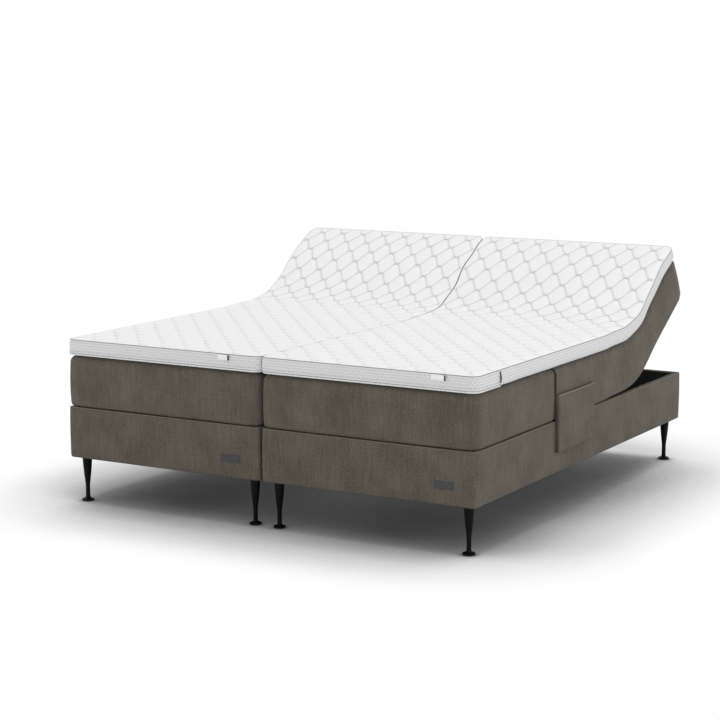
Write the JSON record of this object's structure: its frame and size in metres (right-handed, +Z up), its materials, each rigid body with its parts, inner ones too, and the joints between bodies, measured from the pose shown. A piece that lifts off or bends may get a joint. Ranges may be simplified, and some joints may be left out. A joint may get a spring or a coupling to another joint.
{
  "type": "adjustable bed base",
  "caption": "Pair of upholstered electric beds side by side, each with a tilting back, rising thigh and calf sections, mattress, quilted topper and turned legs.",
  "frame": {"origin": "on the floor, midway between the two beds and midway between the foot and head ends of the base boxes", "axes": "+X across the beds, towards the bed with the pocket; +Y from the foot to the head; +Z up"},
  "size_m": [1.828, 2.0151, 0.9602],
  "materials": {
    "upholstery": "matte",
    "topper_fabric": "matte",
    "timber": "matte",
    "plywood": "matte",
    "black_steel": "satin",
    "leg_lacquer": "gloss",
    "zinc_steel": "satin",
    "black_plastic": "matte",
    "handset_plastic": "satin",
    "key_rubber": "matte",
    "badge_metal": "satin"
  },
  "bodies": {
    "root": {"side_boards": "timber", "foot_boards": "timber", "head_boards": "timber", "base_covers": "upholstery", "corner_blocks": "timber", "legs": "leg_lacquer", "leg_bolts": "zinc_steel", "leg_glides": "black_plastic", "seat_bars": "black_steel", "seat_decks": "plywood", "thigh_hinge_pins": "zinc_steel", "guide_rails": "black_steel", "shaft_brackets": "black_steel", "motor_housings": "black_plastic", "motor_end_caps": "black_plastic", "control_boxes": "black_plastic", "seat_mattresses": "upholstery", "seat_toppers": "topper_fabric", "badges": "badge_metal", "bed_link_plates": "zinc_steel"},
    "left_back": {"left_back_frame": "black_steel", "left_guide_shoes": "black_plastic", "left_back_deck": "plywood", "left_back_mattress": "upholstery", "left_back_topper": "topper_fabric"},
    "left_thigh": {"left_thigh_frame": "black_steel", "left_knee_pins": "zinc_steel", "left_thigh_deck": "plywood", "left_thigh_mattress": "upholstery", "left_thigh_topper": "topper_fabric"},
    "left_calf": {"left_calf_frame": "black_steel", "left_calf_deck": "plywood", "left_calf_mattress": "upholstery", "left_calf_topper": "topper_fabric"},
    "left_back_lift": {"left_back_lift_shaft": "black_steel"},
    "left_leg_lift": {"left_leg_lift_shaft": "black_steel"},
    "right_back": {"right_back_frame": "black_steel", "right_guide_shoes": "black_plastic", "right_back_deck": "plywood", "right_back_mattress": "upholstery", "right_back_topper": "topper_fabric"},
    "right_thigh": {"right_thigh_frame": "black_steel", "right_knee_pins": "zinc_steel", "right_thigh_deck": "plywood", "right_thigh_mattress": "upholstery", "right_thigh_topper": "topper_fabric", "handset_pocket": "upholstery"},
    "right_calf": {"right_calf_frame": "black_steel", "right_calf_deck": "plywood", "right_calf_mattress": "upholstery", "right_calf_topper": "topper_fabric"},
    "right_back_lift": {"right_back_lift_shaft": "black_steel"},
    "right_leg_lift": {"right_leg_lift_shaft": "black_steel"},
    "handset": {"handset_shell": "handset_plastic"},
    "key_back_down": {"key_back_down": "key_rubber"},
    "key_back_up": {"key_back_up": "key_rubber"},
    "key_legs_down": {"key_legs_down": "key_rubber"},
    "key_legs_up": {"key_legs_up": "key_rubber"}
  },
  "joints": [
    {"name": "left_back_tilt", "type": "hinge", "parent": "root", "child": "left_back", "pos_m": [-0.454, 0.396, 0.578], "axis": [1, 0, 0], "range_deg": [-31, 34]},
    {"name": "left_thigh_lift", "type": "hinge", "parent": "root", "child": "left_thigh", "pos_m": [-0.454, 0.05, 0.36], "axis": [-1, 0, 0], "range_deg": [0, 30]},
    {"name": "left_calf_fold", "type": "hinge", "parent": "left_thigh", "child": "left_calf", "pos_m": [-0.454, -0.3, 0.36], "axis": [1, 0, 0], "range_deg": [0, 44.2]},
    {"name": "left_back_lift_turn", "type": "hinge", "parent": "root", "child": "left_back_lift", "pos_m": [-0.454, 0.632, 0.265], "axis": [1, 0, 0], "range_deg": [-23.9, 21.8]},
    {"name": "left_leg_lift_turn", "type": "hinge", "parent": "root", "child": "left_leg_lift", "pos_m": [-0.454, -0.047, 0.283], "axis": [1, 0, 0], "range_deg": [-69.5, 0]},
    {"name": "right_back_tilt", "type": "hinge", "parent": "root", "child": "right_back", "pos_m": [0.454, 0.396, 0.578], "axis": [1, 0, 0], "range_deg": [-31, 34]},
    {"name": "right_thigh_lift", "type": "hinge", "parent": "root", "child": "right_thigh", "pos_m": [0.454, 0.05, 0.36], "axis": [-1, 0, 0], "range_deg": [0, 30]},
    {"name": "right_calf_fold", "type": "hinge", "parent": "right_thigh", "child": "right_calf", "pos_m": [0.454, -0.3, 0.36], "axis": [1, 0, 0], "range_deg": [0, 44.2]},
    {"name": "right_back_lift_turn", "type": "hinge", "parent": "root", "child": "right_back_lift", "pos_m": [0.454, 0.632, 0.265], "axis": [1, 0, 0], "range_deg": [-23.9, 21.8]},
    {"name": "right_leg_lift_turn", "type": "hinge", "parent": "root", "child": "right_leg_lift", "pos_m": [0.454, -0.047, 0.283], "axis": [1, 0, 0], "range_deg": [-69.5, 0]},
    {"name": "handset_draw", "type": "slide", "parent": "right_thigh", "child": "handset", "axis": [0, 0, 1], "range_m": [0, 0.25]},
    {"name": "key_back_down_press", "type": "slide", "parent": "handset", "child": "key_back_down", "axis": [-1, 0, 0], "range_m": [0, 0.0012], "stiffness_N_per_m": 800, "springref_m": -0.001},
    {"name": "key_back_up_press", "type": "slide", "parent": "handset", "child": "key_back_up", "axis": [-1, 0, 0], "range_m": [0, 0.0012], "stiffness_N_per_m": 800, "springref_m": -0.001},
    {"name": "key_legs_down_press", "type": "slide", "parent": "handset", "child": "key_legs_down", "axis": [-1, 0, 0], "range_m": [0, 0.0012], "stiffness_N_per_m": 800, "springref_m": -0.001},
    {"name": "key_legs_up_press", "type": "slide", "parent": "handset", "child": "key_legs_up", "axis": [-1, 0, 0], "range_m": [0, 0.0012], "stiffness_N_per_m": 800, "springref_m": -0.001}
  ],
  "couplings": [
    {"joint": "left_calf_fold", "follows": "left_thigh_lift", "ratio": 1.47},
    {"joint": "left_back_lift_turn", "follows": "left_back_tilt", "ratio": -0.699},
    {"joint": "left_leg_lift_turn", "follows": "left_thigh_lift", "ratio": -2.312},
    {"joint": "right_calf_fold", "follows": "right_thigh_lift", "ratio": 1.47},
    {"joint": "right_back_lift_turn", "follows": "right_back_tilt", "ratio": -0.699},
    {"joint": "right_leg_lift_turn", "follows": "right_thigh_lift", "ratio": -2.312}
  ]
}
